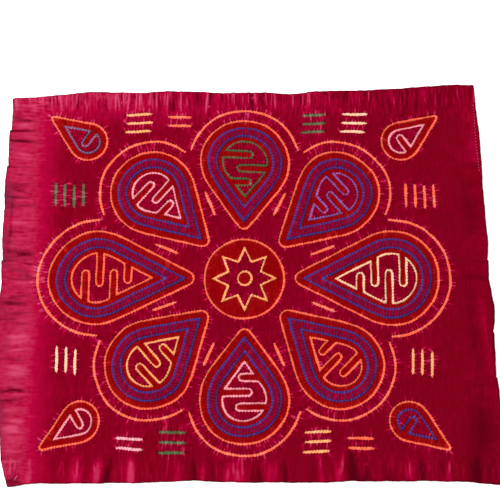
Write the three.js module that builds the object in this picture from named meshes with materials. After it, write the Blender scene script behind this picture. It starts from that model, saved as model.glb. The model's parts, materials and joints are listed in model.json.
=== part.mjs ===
// A mola panel: layers of cotton sewn together by hand, lying face up on a flat surface.
// The scarlet base cloth shows through windows cut in an orange cloth and a crimson top cloth.
// Inside the windows lie sewn-on bands and patches, each a coloured piece under a smaller crimson one,
// so that a thin coloured line shows all round. The design is a rosette of petals with corner leaves.
// Millimetres, +Z up. Shapes are laid out about the middle of the rosette, and the finished group is
// moved so that its origin lies on the surface under the middle of the panel.
import * as THREE from "three";

// Cloth
const CLOTH = 1.0; // one layer, with its turned edge
const LAYER_GAP = 0.3; // between two sewn layers
const LEVEL = { base: 0, middle: CLOTH + LAYER_GAP, top: 2 * (CLOTH + LAYER_GAP) };
const RIM = 1.7; // coloured line left showing along a turned edge

// Widths inside a petal, each measured in from the edge of the crimson window
const BAND_INSET = 7.0;
const BAND_WIDTH = 9.5;
const COMB_INSET = 20.5;
const LEAF_COMB_INSET = 7.0;

// Slots that turn a patch into a comb, cut in from alternate sides
const SLOT_HALF_WIDTH = 2.4;
const SLOT_PAST_AXIS = 0.2; // share of the half width that a slot reaches beyond the axis
const FIRST_SLOT = 13.0; // from the round end of the patch
const SLOT_PITCH = 13.0;
const SLOT_LEAST_HALF_WIDTH = 9.0; // a slot is cut only where the patch is this wide

// Star in the middle
const STAR = { window: 37.0, tips: 8, outer: 30.0, inner: 17.0, eye: 5.5 };

// Slits in the crimson cloth, with a scrap of coloured cloth behind each group
const SLIT = { length: 25.0, halfWidth: 1.3, point: 2.5, pitch: 8.5, stagger: 1.2 };
const SCRAP_MARGIN = 3.0; // from a slit to the edge of its scrap
const SCRAP_CLEARANCE = 1.0; // from a scrap to the orange cloth round it

// Long curved slits that echo the round ends of the petals: offset is from a petal's window to its echo,
// and gap is left between the ends of two neighbouring echoes.
const ECHO = { offset: 8.0, halfWidth: 1.1, point: 2.5, gap: 7.0 };

// Field: the flat decorated middle. Outside it the cloth ripples up to its edges.
const FIELD = { halfWidth: 192.0, halfHeight: 163.0, bow: 2.0 };
const MARGIN_RINGS = [1, 0.62, 0.3, 0]; // share of the way out from the field to the edge
const CURL = 1.6; // power by which a ripple grows towards the edge
const EDGE_STEPS = 26;
const ROUND_STEPS = 13;
const ECHO_STEPS = 11;
const ROOT_STEPS = 4;
const SLOT_STEPS = 4;
const CIRCLE_STEPS = 32;
const EYE_STEPS = 12;

const CORNERS = {
  topLeft: { x: -216.5, y: 170, lift: 1.5 },
  bottomLeft: { x: -206, y: -184, lift: 3.0 },
  bottomRight: { x: 227, y: -182, lift: 2.0 },
  topRight: { x: 216, y: 184, lift: 1.0 },
};

// The panel's edges, anticlockwise. Each row is a bend of the edge: at is the share of the edge from its
// first corner, out is how far it lies beyond the straight line, and lift is how high it stands.
const EDGES = [
  {
    from: "topLeft",
    to: "bottomLeft",
    outward: [-1, 0],
    field: [[-1, 1], [-1, -1]],
    rows: [
      { at: 0.06, out: -0.3, lift: 3.2 },
      { at: 0.12, out: 4.0, lift: 0.6 },
      { at: 0.17, out: 2.8, lift: 4.0 },
      { at: 0.22, out: 6.3, lift: 1.0 },
      { at: 0.28, out: 6.8, lift: 2.6 },
      { at: 0.34, out: 8.2, lift: 0.8 },
      { at: 0.43, out: 7.6, lift: 3.6 },
      { at: 0.49, out: 7.3, lift: 0.8 },
      { at: 0.54, out: 9.2, lift: 4.4 },
      { at: 0.65, out: 9.8, lift: 1.2 },
      { at: 0.77, out: 9.0, lift: 4.0 },
      { at: 0.88, out: 6.8, lift: 1.0 },
      { at: 0.94, out: 4.6, lift: 4.8 },
    ],
  },
  {
    from: "bottomLeft",
    to: "bottomRight",
    outward: [0, -1],
    field: [[-1, -1], [1, -1]],
    rows: [
      { at: 0.04, out: -2.0, lift: 1.2 },
      { at: 0.12, out: -1.5, lift: 3.8 },
      { at: 0.2, out: -1.5, lift: 0.6 },
      { at: 0.27, out: -2.8, lift: 4.0 },
      { at: 0.33, out: -4.2, lift: 1.0 },
      { at: 0.37, out: -5.2, lift: 3.2 },
      { at: 0.43, out: -3.0, lift: 1.2 },
      { at: 0.49, out: -2.6, lift: 3.0 },
      { at: 0.53, out: -2.4, lift: 0.6 },
      { at: 0.62, out: -1.6, lift: 4.2 },
      { at: 0.69, out: -3.0, lift: 0.5 },
      { at: 0.76, out: -3.0, lift: 3.6 },
      { at: 0.82, out: -2.9, lift: 0.8 },
      { at: 0.88, out: -2.0, lift: 3.0 },
      { at: 0.94, out: -1.7, lift: 0.8 },
    ],
  },
  {
    from: "bottomRight",
    to: "topRight",
    outward: [1, 0],
    field: [[1, -1], [1, 1]],
    rows: [
      { at: 0.12, out: 0.3, lift: 3.0 },
      { at: 0.21, out: 0.8, lift: 0.8 },
      { at: 0.26, out: -1.2, lift: 3.6 },
      { at: 0.35, out: -0.6, lift: 1.0 },
      { at: 0.43, out: 1.0, lift: 3.4 },
      { at: 0.5, out: -1.8, lift: 0.6 },
      { at: 0.55, out: 0.2, lift: 2.4 },
      { at: 0.64, out: -0.3, lift: 0.8 },
      { at: 0.75, out: 0.4, lift: 2.0 },
      { at: 0.83, out: 1.2, lift: 0.6 },
      { at: 0.92, out: 0.0, lift: 1.8 },
    ],
  },
  {
    from: "topRight",
    to: "topLeft",
    outward: [0, 1],
    field: [[1, 1], [-1, 1]],
    rows: [
      { at: 0.06, out: -0.8, lift: 1.6 },
      { at: 0.12, out: -1.6, lift: 0.4 },
      { at: 0.2, out: -2.4, lift: 1.6 },
      { at: 0.28, out: -2.2, lift: 0.4 },
      { at: 0.34, out: -1.9, lift: 1.8 },
      { at: 0.4, out: -3.5, lift: 0.4 },
      { at: 0.48, out: -0.3, lift: 1.4 },
      { at: 0.54, out: -0.5, lift: 0.4 },
      { at: 0.6, out: 1.3, lift: 1.6 },
      { at: 0.67, out: 3.2, lift: 0.5 },
      { at: 0.73, out: 2.2, lift: 1.5 },
      { at: 0.83, out: 3.3, lift: 0.4 },
      { at: 0.89, out: 1.4, lift: 1.4 },
      { at: 0.95, out: 0.8, lift: 0.5 },
    ],
  },
];

// Petals stand round the star: reach is from the middle of the star to the tip, and rim is the comb's colour.
const PETAL_ROOT = { near: 52.0, radius: 7.0 };
const PETALS = [
  { name: "right", angle: 0, reach: 178, width: 88, rim: "cream" },
  { name: "upper_right", angle: 43, reach: 156, width: 80, rim: "purple" },
  { name: "top", angle: 90, reach: 149, width: 82, rim: "green" },
  { name: "upper_left", angle: 137, reach: 156, width: 80, rim: "pink" },
  { name: "left", angle: 180, reach: 178, width: 88, rim: "tangerine" },
  { name: "lower_left", angle: 223, reach: 156, width: 80, rim: "yellow" },
  { name: "bottom", angle: 270, reach: 149, width: 82, rim: "pink" },
  { name: "lower_right", angle: 317, reach: 156, width: 80, rim: "tangerine" },
];

// Corner leaves point out to the corners of the field: sideways and up give the corner.
const LEAF = { tipX: 184, tipY: 155, angle: 34, far: 47, radius: 18.5, near: 8, rootRadius: 3 };
const LEAVES = [
  { name: "upper_right", sideways: 1, up: 1, rim: "pink" },
  { name: "upper_left", sideways: -1, up: 1, rim: "violet" },
  { name: "lower_left", sideways: -1, up: -1, rim: "pink" },
  { name: "lower_right", sideways: 1, up: -1, rim: "blue" },
];

// Groups of slits: x and y are the middle of the group, and turn is the way the bars run.
// Where no scrap lies behind, the orange cloth shows.
const SLIT_GROUPS = [
  { name: "top_1", x: -100, y: 146.4, turn: 2, bars: 3, scrap: "yellow" },
  { name: "top_2", x: -62, y: 147.6, turn: -2, bars: 2, scrap: null },
  { name: "top_3", x: 64, y: 146.1, turn: 3, bars: 3, scrap: "green" },
  { name: "top_4", x: 102, y: 146.7, turn: -1, bars: 3, scrap: "cream" },
  { name: "bottom_1", x: -101, y: -147.7, turn: -3, bars: 2, scrap: "pink" },
  { name: "bottom_2", x: -64, y: -146.2, turn: 1, bars: 3, scrap: "green" },
  { name: "bottom_3", x: 63.5, y: -146.5, turn: 2, bars: 3, scrap: "yellow" },
  { name: "bottom_4", x: 101, y: -148.3, turn: -2, bars: 2, scrap: null },
  { name: "left_upper", x: -161, y: 76.8, turn: 92, bars: 4, scrap: "green" },
  { name: "left_lower", x: -159.4, y: -75.3, turn: 88, bars: 3, scrap: "cream" },
  { name: "right_upper", x: 160.6, y: 75.7, turn: 91, bars: 4, scrap: null },
  { name: "right_lower", x: 158.7, y: -76.4, turn: 87, bars: 3, scrap: "yellow" },
];

// Single slits that run outwards from the star between the petals
const SPOKE_AT = 76.0;
const SPOKE_ANGLES = [20.5, 65.3, 114.7, 159.5, 200.5, 245.3, 294.7, 339.5];

const COLOURS = {
  scarlet: 0xc80a18,
  tangerine: 0xff6a35,
  crimson: 0xb3123f,
  blue: 0x4b3b9c,
  yellow: 0xf6b650,
  cream: 0xf6dba6,
  pink: 0xe98ea4,
  green: 0x66713f,
  purple: 0x9065a8,
  violet: 0x85648f,
};
const COTTON = Object.fromEntries(
  Object.entries(COLOURS).map(([name, color]) => [
    name,
    new THREE.MeshStandardMaterial({ name: `${name}_cotton`, color, roughness: 0.85, metalness: 0 }),
  ]),
);

function arc(x, y, radius, from, to, steps) {
  return Array.from({ length: steps + 1 }, (_, i) => {
    const angle = from + ((to - from) * i) / steps;
    return new THREE.Vector2(x + radius * Math.cos(angle), y + radius * Math.sin(angle));
  });
}

function circle(radius, steps) {
  return arc(0, 0, radius, 0, 2 * Math.PI, steps).slice(0, -1);
}

// Turns points drawn along a piece's own axis to where the piece lies.
function placed(points, { x = 0, y = 0, angle }) {
  const middle = new THREE.Vector2();
  const turn = THREE.MathUtils.degToRad(angle);
  return points.map((p) => p.clone().rotateAround(middle, turn).add(new THREE.Vector2(x, y)));
}

// Moves every side of a closed anticlockwise outline inwards.
function drawnIn(points, by) {
  const inward = points.map((p, i) => {
    const side = points[(i + 1) % points.length].clone().sub(p).normalize();
    return new THREE.Vector2(-side.y, side.x);
  });
  return points.map((p, i) => {
    const before = inward[(i + points.length - 1) % points.length];
    const mitre = before.clone().add(inward[i]).multiplyScalar(by / (1 + before.dot(inward[i])));
    return p.clone().add(mitre);
  });
}

// Petals and leaves are tapered: a round far end, and straight sides that lean in to a small round root.
// Drawn in further than the root's radius, the sides meet in a point.
function tapered(piece, inset) {
  const lean = Math.asin((piece.radius - piece.rootRadius) / (piece.far - piece.near));
  const radius = piece.radius - inset;
  const rootRadius = Math.max(piece.rootRadius - inset, 0);
  const near = rootRadius > 0 ? piece.near : piece.far - radius / Math.sin(lean);
  return { lean, radius, rootRadius, near, far: piece.far };
}

function taperedOutline(piece, inset) {
  const { lean, radius, rootRadius, near, far } = tapered(piece, inset);
  const turn = Math.PI / 2 + lean;
  const round = arc(far, 0, radius, -turn, turn, ROUND_STEPS);
  const root =
    rootRadius > 0
      ? arc(near, 0, rootRadius, turn, 2 * Math.PI - turn, ROOT_STEPS)
      : [new THREE.Vector2(near, 0)];
  return placed([...round, ...root], piece);
}

function halfWidth({ lean, radius, near, far }, along) {
  const touch = far - radius * Math.sin(lean);
  if (along <= touch) return (along - near) * Math.tan(lean);
  return Math.sqrt(Math.max(radius ** 2 - (along - far) ** 2, 0));
}

// Where a comb's slots lie: from alternate sides, starting near the round end.
function slotsOf(piece, inset) {
  const body = tapered(piece, inset);
  const slots = [];
  for (let at = body.far + body.radius - FIRST_SLOT; at > body.near; at -= SLOT_PITCH) {
    const wide = halfWidth(body, at);
    if (wide < SLOT_LEAST_HALF_WIDTH) break;
    slots.push({ at, end: -SLOT_PAST_AXIS * wide, side: slots.length % 2 ? -1 : 1 });
  }
  return slots;
}

// One long side of a comb, from its point to its round end, with the slots cut in from that side.
function combSide(body, slots, slotHalf, side) {
  const turn = Math.PI / 2 + body.lean;
  const own = slots.filter((slot) => slot.side === side);
  const inSlot = (along) => own.some((slot) => Math.abs(along - slot.at) < slotHalf + 0.5);
  const edge = (along) => new THREE.Vector2(along, side * halfWidth(body, along));
  const plain = arc(body.far, 0, body.radius, turn, 0, ROUND_STEPS)
    .filter((p) => !inSlot(p.x))
    .map((p) => ({ along: p.x, points: [edge(p.x)] }));
  const cut = own.map(({ at, end }) => {
    const tip = arc(at, end, slotHalf, Math.PI, 2 * Math.PI, SLOT_STEPS);
    return {
      along: at,
      points: [
        edge(at - slotHalf),
        ...tip.map((p) => new THREE.Vector2(p.x, side * p.y)),
        edge(at + slotHalf),
      ],
    };
  });
  const walk = [...plain, ...cut].sort((a, b) => a.along - b.along);
  return [new THREE.Vector2(body.near, 0), ...walk.flatMap((part) => part.points)];
}

function combOutline(piece, inset, slots, slotHalf) {
  const body = tapered(piece, inset);
  const lower = combSide(body, slots, slotHalf, -1);
  const upper = combSide(body, slots, slotHalf, 1).slice(1, -1).reverse();
  return placed([...lower, ...upper], piece);
}

function starOutline({ tips, outer, inner }) {
  return Array.from({ length: 2 * tips }, (_, i) => {
    const radius = i % 2 ? inner : outer;
    const angle = (Math.PI * i) / tips;
    return new THREE.Vector2(radius * Math.cos(angle), radius * Math.sin(angle));
  });
}

function rectangle(halfLength, halfHeight) {
  return [
    new THREE.Vector2(-halfLength, -halfHeight),
    new THREE.Vector2(halfLength, -halfHeight),
    new THREE.Vector2(halfLength, halfHeight),
    new THREE.Vector2(-halfLength, halfHeight),
  ];
}

function slitOutline() {
  const { length, halfWidth: half, point } = SLIT;
  const shoulder = length / 2 - point;
  return [
    new THREE.Vector2(-length / 2, 0),
    new THREE.Vector2(-shoulder, -half),
    new THREE.Vector2(shoulder, -half),
    new THREE.Vector2(length / 2, 0),
    new THREE.Vector2(shoulder, half),
    new THREE.Vector2(-shoulder, half),
  ];
}

// The bars of a group lie side by side, each a little ahead of or behind the last.
function slitsOf(group) {
  return Array.from({ length: group.bars }, (_, i) => {
    const beside = (i - (group.bars - 1) / 2) * SLIT.pitch;
    const ahead = SLIT.stagger * Math.sin(2.5 * i + beside);
    const bar = placed(slitOutline(), { x: ahead, y: beside, angle: 0 });
    return placed(bar, { ...group, angle: group.turn });
  });
}

function spokes() {
  return SPOKE_ANGLES.map((angle) => placed(placed(slitOutline(), { x: SPOKE_AT, angle: 0 }), { angle }));
}

// The angle from a petal's axis at which its echo would meet its neighbour's, less the gap between them.
function echoSpan(petal, neighbour) {
  const [own, other] = [petal, neighbour].map(({ radius }) => radius + ECHO.offset + ECHO.halfWidth);
  const middleOf = ({ far, angle }) => placed([new THREE.Vector2(far, 0)], { angle })[0];
  const across = middleOf(neighbour).sub(middleOf(petal));
  const apart = across.length();
  const bearing = across.angleTo(middleOf(petal));
  const meeting = Math.acos((own ** 2 + apart ** 2 - other ** 2) / (2 * own * apart));
  return bearing - meeting - ECHO.gap / own;
}

function echoOutline(petal, before, after) {
  const middle = petal.radius + ECHO.offset + ECHO.halfWidth;
  const from = -echoSpan(petal, before);
  const to = echoSpan(petal, after);
  const tip = (angle) => new THREE.Vector2(petal.far + middle * Math.cos(angle), middle * Math.sin(angle));
  const outer = arc(petal.far, 0, middle + ECHO.halfWidth, from, to, ECHO_STEPS);
  const inner = arc(petal.far, 0, middle - ECHO.halfWidth, to, from, ECHO_STEPS);
  const ends = [from - ECHO.point / middle, to + ECHO.point / middle].map(tip);
  return placed([ends[0], ...outer, ends[1], ...inner], petal);
}

function echoes(petals) {
  const count = petals.length;
  return petals.map((petal, i) =>
    echoOutline(petal, petals[(i + count - 1) % count], petals[(i + 1) % count]),
  );
}

function scrapOutline(group, grow) {
  const halfLength = SLIT.length / 2 + SCRAP_MARGIN + grow;
  const halfHeight = ((group.bars - 1) * SLIT.pitch) / 2 + SLIT.halfWidth + SCRAP_MARGIN + grow;
  return placed(rectangle(halfLength, halfHeight), { ...group, angle: group.turn });
}

// A flat piece cut to an outline.
function flatPiece(outline, holes, level) {
  const shape = new THREE.Shape(outline);
  shape.holes = holes.map((hole) => new THREE.Path(hole));
  const geometry = new THREE.ExtrudeGeometry(shape, { depth: CLOTH, bevelEnabled: false });
  return geometry.translate(0, 0, level);
}

// Points along one edge of the panel, from its first corner up to but not including its second.
function edgePoints({ from, to, outward, rows }) {
  const a = CORNERS[from];
  const b = CORNERS[to];
  const bends = rows.map(
    ({ at, out, lift }) =>
      new THREE.Vector3(
        a.x + (b.x - a.x) * at + outward[0] * out,
        a.y + (b.y - a.y) * at + outward[1] * out,
        lift,
      ),
  );
  const ends = [a, b].map(({ x, y, lift }) => new THREE.Vector3(x, y, lift));
  const curve = new THREE.CatmullRomCurve3([ends[0], ...bends, ends[1]]);
  return curve.getSpacedPoints(EDGE_STEPS).slice(0, -1);
}

// Points along the same edge of the field, whose sides bow out a little.
function fieldPoints({ outward, field: [a, b] }) {
  return Array.from({ length: EDGE_STEPS }, (_, i) => {
    const share = i / EDGE_STEPS;
    const bow = 4 * FIELD.bow * share * (1 - share);
    return new THREE.Vector3(
      FIELD.halfWidth * THREE.MathUtils.lerp(a[0], b[0], share) + outward[0] * bow,
      FIELD.halfHeight * THREE.MathUtils.lerp(a[1], b[1], share) + outward[1] * bow,
      0,
    );
  });
}

// Closed rings of points from the panel's edge in to the flat field, each with its height in z.
function marginRings() {
  const edge = EDGES.flatMap(edgePoints);
  const field = EDGES.flatMap(fieldPoints);
  return MARGIN_RINGS.map((share) =>
    field.map((inner, i) => {
      const point = inner.clone().lerp(edge[i], share);
      point.z = edge[i].z * share ** CURL;
      return point;
    }),
  );
}

// A whole cloth: strips between the margin's rings, then the flat field with its windows left open.
function wholeCloth(rings, windows, level) {
  const field = rings.at(-1);
  const count = field.length;
  const holes = windows.map((w) => w.toReversed().map((p) => new THREE.Vector3(p.x, p.y, 0)));
  const points = [...rings.flat(), ...holes.flat()];
  const upward = [];
  for (let ring = 0; ring + 1 < rings.length; ring++) {
    for (let i = 0; i < count; i++) {
      const a = ring * count + i;
      const b = ring * count + ((i + 1) % count);
      upward.push([a, b, b + count], [a, b + count, a + count]);
    }
  }
  const first = (rings.length - 1) * count;
  for (const face of THREE.ShapeUtils.triangulateShape(field, holes)) {
    const [a, b, c] = face.map((i) => i + first);
    const area = THREE.ShapeUtils.area([points[a], points[b], points[c]]);
    upward.push(area > 0 ? [a, b, c] : [a, c, b]);
  }
  const below = points.length;
  const walls = [];
  let start = 0;
  for (const loop of [rings[0], ...holes]) {
    loop.forEach((_, i) => {
      const a = start + i;
      const b = start + ((i + 1) % loop.length);
      walls.push([a + below, b + below, b], [a + below, b, a]);
    });
    start = start === 0 ? rings.length * count : start + loop.length;
  }
  const downward = upward.map(([a, b, c]) => [a + below, c + below, b + below]);
  const heights = [CLOTH + level, level];
  const positions = heights.flatMap((z) => points.flatMap((p) => [p.x, p.y, p.z + z]));
  const geometry = new THREE.BufferGeometry();
  geometry.setAttribute("position", new THREE.Float32BufferAttribute(positions, 3));
  geometry.setIndex([...upward, ...downward, ...walls].flat());
  geometry.computeVertexNormals();
  return geometry;
}

const panel = new THREE.Group();
panel.name = "mola_panel";

function add(name, geometry, colour) {
  const mesh = new THREE.Mesh(geometry, COTTON[colour]);
  mesh.name = name;
  panel.add(mesh);
}

const petals = PETALS.map((petal) => ({
  ...petal,
  far: petal.reach - petal.width / 2,
  radius: petal.width / 2,
  near: PETAL_ROOT.near,
  rootRadius: PETAL_ROOT.radius,
}));
const leaves = LEAVES.map((leaf) => ({
  ...LEAF,
  ...leaf,
  x: leaf.sideways * LEAF.tipX,
  y: leaf.up * LEAF.tipY,
  angle: leaf.sideways > 0 ? leaf.up * (LEAF.angle - 180) : -leaf.up * LEAF.angle,
}));

// Windows, as the edge of the crimson cloth or, drawn in by the rim, of the orange cloth
function windows(inset) {
  return [
    ...petals.map((petal) => taperedOutline(petal, inset)),
    ...leaves.map((leaf) => taperedOutline(leaf, inset)),
    circle(STAR.window - inset, CIRCLE_STEPS),
  ];
}

const rings = marginRings();
const backedSlits = SLIT_GROUPS.filter((group) => group.scrap);
const scrapWindows = backedSlits.map((group) => scrapOutline(group, SCRAP_CLEARANCE));
add("base_cloth", wholeCloth(rings, [], LEVEL.base), "scarlet");
add(
  "orange_cloth",
  flatPiece(rectangle(FIELD.halfWidth, FIELD.halfHeight), [...windows(RIM), ...scrapWindows], LEVEL.middle),
  "tangerine",
);
const slits = [...SLIT_GROUPS.flatMap(slitsOf), ...spokes(), ...echoes(petals)];
add("crimson_cloth", wholeCloth(rings, [...windows(0), ...slits], LEVEL.top), "crimson");

function addComb(name, piece, inset) {
  const slots = slotsOf(piece, inset);
  const patch = combOutline(piece, inset, slots, SLOT_HALF_WIDTH);
  const overlay = combOutline(piece, inset + RIM, slots, SLOT_HALF_WIDTH + RIM);
  add(`${name}_comb`, flatPiece(patch, [], LEVEL.middle), piece.rim);
  add(`${name}_comb_overlay`, flatPiece(overlay, [], LEVEL.top), "crimson");
}

for (const petal of petals) {
  const name = `petal_${petal.name}`;
  const bandEdges = [BAND_INSET, BAND_INSET + BAND_WIDTH];
  const [outer, inner] = bandEdges.map((inset) => taperedOutline(petal, inset));
  add(`${name}_band`, flatPiece(outer, [inner], LEVEL.middle), "blue");
  const overlayOuter = taperedOutline(petal, bandEdges[0] + RIM);
  const overlayInner = taperedOutline(petal, bandEdges[1] - RIM);
  add(`${name}_band_overlay`, flatPiece(overlayOuter, [overlayInner], LEVEL.top), "crimson");
  addComb(name, petal, COMB_INSET);
}

for (const leaf of leaves) addComb(`leaf_${leaf.name}`, leaf, LEAF_COMB_INSET);

const star = starOutline(STAR);
add("star", flatPiece(star, [circle(STAR.eye, EYE_STEPS)], LEVEL.middle), "yellow");
add(
  "star_overlay",
  flatPiece(drawnIn(star, RIM), [circle(STAR.eye + RIM, EYE_STEPS)], LEVEL.top),
  "crimson",
);

for (const group of backedSlits) {
  add(`scrap_${group.name}`, flatPiece(scrapOutline(group, 0), [], LEVEL.middle), group.scrap);
}

const middle = new THREE.Box3().setFromPoints(rings[0]).getCenter(new THREE.Vector3());
panel.position.set(-middle.x, -middle.y, 0);

export default panel;
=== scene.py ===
"""The looks of a mola panel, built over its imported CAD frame.

Every cut piece of cotton becomes a thin closed sheet with turned edges. It is cut to the outline of its
CAD node, with the small unevenness of hand cutting. All layers share one relief: the frame's rippled
margins, soft gathers and creases, and the puckers that hand sewing draws up across each seam. Stitches are
short threads over the turned edges. Lengths are in millimetres until a mesh is made.
"""

import json
import math
import zlib

import bpy
import numpy as np
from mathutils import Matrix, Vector
from mathutils.bvhtree import BVHTree
from mathutils.geometry import delaunay_2d_cdt
from mathutils.kdtree import KDTree


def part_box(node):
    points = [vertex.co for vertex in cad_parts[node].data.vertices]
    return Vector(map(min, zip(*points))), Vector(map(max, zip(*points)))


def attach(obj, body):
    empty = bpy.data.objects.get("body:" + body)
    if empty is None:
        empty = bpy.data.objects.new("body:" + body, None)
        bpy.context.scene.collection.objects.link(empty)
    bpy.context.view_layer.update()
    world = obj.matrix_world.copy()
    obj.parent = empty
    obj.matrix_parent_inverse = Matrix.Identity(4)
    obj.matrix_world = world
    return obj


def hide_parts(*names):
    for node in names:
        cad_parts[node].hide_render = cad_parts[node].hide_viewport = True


MM = 0.001
WHOLE_CLOTHS = ("base_cloth", "orange_cloth", "crimson_cloth")

# Height of each layer's upper face above the surface that the panel lies on
LAYER_TOP = {"floor": 0.0, "base": 1.0, "middle": 1.75, "upper": 2.15}
LAYER_BELOW = {"base": "floor", "middle": "base", "upper": "middle"}
SAME_HEIGHT = 0.1  # heights nearer than this are on one face of a CAD node
SAME_POINT = 2  # decimals by which two corners of a CAD node are told to be the same
SINK = 0.05  # how far an edge sinks into the layer below, so that no gap shows
THINNEST = 0.15  # no upper face is nearer than this to the surface that the panel lies on
TUCKED = 0.3  # how far a piece lies lower where another hides it
TUCK_WIDTH = (0.3, 2.0)  # distance under the other piece's edge over which it goes down

# Turned edges
ROLL = 0.6  # radius of the fold
LIP = 0.2  # extra height over the turned-in cloth
LIP_WIDTH = (2.2, 4.6)  # distance from the edge over which the extra height dies away
EDGE_ROWS = (0.18, 0.55, 1.1, 1.9, 2.9)  # rows of points beside an edge, in line with its stitches
RIM_ROWS = EDGE_ROWS[:3]  # enough where only a rim shows
BASE_ROWS = (0.35, 1.1, 2.2)  # rows on the base cloth outside the edges that are sewn to it
CROWDED = 0.42  # points nearer together than this are thinned out
CLEAR_OF_ROWS = 0.9  # least distance from a row of points to a point of the grid
NEARLY = 0.9  # share of a row's distance within which another edge counts as nearer
ON_EDGE = 1e-4  # a point nearer than this to an edge point is that point
DIGITS = 4  # decimals by which two such points are told to be the same
MERGED = 1e-5  # points nearer together than this become one as triangles are made
AT_ONCE = 400  # points tested together

# Cutting by hand
STITCH_PITCH = 2.7
POINTS_PER_STITCH = 4
FEWEST_STITCHES = 4  # round the smallest window
SHARP_TURN = math.radians(33)
CALMED = 2  # points on each side of a sharp turn where the edge strays less
CORNER_CUT = 0.25  # share of an outline's edge that is cut off at each end to soften it
CORNER_CUTS = 3  # how many times that is done
CORNER_ROUNDING = 0.8  # most that is cut off at a real corner
CURVE_ROUNDING = 3.0  # and along a curve
LAYOUT_STRAY = {"blur": 18.0, "height": 0.6}  # how the layout strays from the drawn one
WOBBLE = 0.28  # how far an edge strays from its own line, in waves of these lengths
EDGE_WAVES = [{"length": 34, "share": 0.6}, {"length": 15, "share": 0.35}, {"length": 7, "share": 0.25}]
STITCH_PULL = 0.16  # how far each stitch draws the edge in
SLACK = 0.4  # how far the edge swells between two stitches, as a share of that
BASE_INSET = 0.8  # how far the base cloth lies inside the edge of the top cloth

# Steps worn into the side edges: the side (-1 is the left one), the place, and how deep and long each is
NICKS = [
    {"side": -1, "y": 139, "depth": 1.5, "length": 9},
    {"side": -1, "y": 104, "depth": 1.6, "length": 8},
    {"side": -1, "y": 62, "depth": 0.7, "length": 6},
    {"side": -1, "y": 16, "depth": 1.5, "length": 10},
    {"side": -1, "y": -66, "depth": 0.8, "length": 7},
    {"side": 1, "y": 16, "depth": 1.3, "length": 6},
    {"side": 1, "y": -49, "depth": 0.9, "length": 5},
    {"side": 1, "y": -90, "depth": 1.2, "length": 7},
]
SIDE_EDGE = 196  # no farther out than the side edges lie

# Spacing of points inside a piece, across and up: where it shows, in gathered margins, and where it's
# hidden
FINE = (1.5, 1.3)
UPRIGHT_GATHERS = (0.72, 2.6)
LEVEL_GATHERS = (2.6, 0.72)
COARSE = (5.0, 4.3)
COARSE_CLEAR = 0.5 * COARSE[0]  # least distance from an edge to a hidden point

# Relief shared by all layers
TROUGH_FLOOR = (-0.5, 0.3)  # troughs deeper than the first are eased off within the second
RELIEF_HALF = (236.0, 196.0)  # half its width and height
RELIEF_STEP = 0.5  # distance between its places
LIFT_STEP = 2.4  # the same where it is read from the frame
LIFT_BLUR = 3.2  # and how far that is smoothed
BLUR_REACH = 3  # how many times that far a blur spreads
RIDGE_REACH = 2  # widths beyond its ends that a ridge may take up
RIDGE_ENDS = 1.5  # how finely a ridge runs out at its ends
WELL_ABOVE = 1.0  # height in metres that is clear of the whole panel

# Puckers across seams: mean distance apart, and the ranges of half length, width and height
PUCKER_PITCH = 4.3
PUCKER_LENGTH = (2.6, 6.8)
PUCKER_WIDTH = (0.95, 1.45)
PUCKER_LEAN = 0.09  # how far they lean from straight across, in radians
PUCKER_SHIFT = (-0.25, 0.5)  # how far they lie to the cloth's side of the seam, in half lengths
UNEVEN_PITCH = (0.55, 1.55)  # how much the distance between two of them varies
PUCKER_HEIGHT = {"crimson_cloth": (0.3, 0.8), "band_overlay": (0.1, 0.35), "comb_overlay": (0.2, 0.5)}

# Small puckers that each stitch draws up: half their height, and how far from the seam they die away
STITCH_PUCKER = {"height": 0.28, "reach": (1.6, 5.0)}

# Gathers that run straight out from the field across a margin, and how far inward of its middle they lie
GATHER_STRAY = 3.0
GATHERS = [
    {"side": "top", "inward": 4, "pitch": 2.0, "half_length": (9, 22), "width": (0.5, 0.95),
     "height": (-0.5, 1.0), "lean": 4},
    {"side": "bottom", "inward": 7, "pitch": 3.2, "half_length": (5, 13), "width": (0.6, 1.2),
     "height": (-0.3, 0.6), "lean": 7},
    {"side": "bottom", "inward": -2, "pitch": 9.0, "half_length": (14, 28), "width": (2.5, 6.0),
     "height": (-0.3, 0.45), "lean": 8},
    {"side": "left", "inward": 2, "pitch": 2.6, "half_length": (8, 20), "width": (0.7, 2.0),
     "height": (-0.4, 0.5), "lean": 5},
    {"side": "right", "inward": 0, "pitch": 8.0, "half_length": (9, 18), "width": (2.0, 4.5),
     "height": (-0.1, 0.15), "lean": 4},
]

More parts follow.
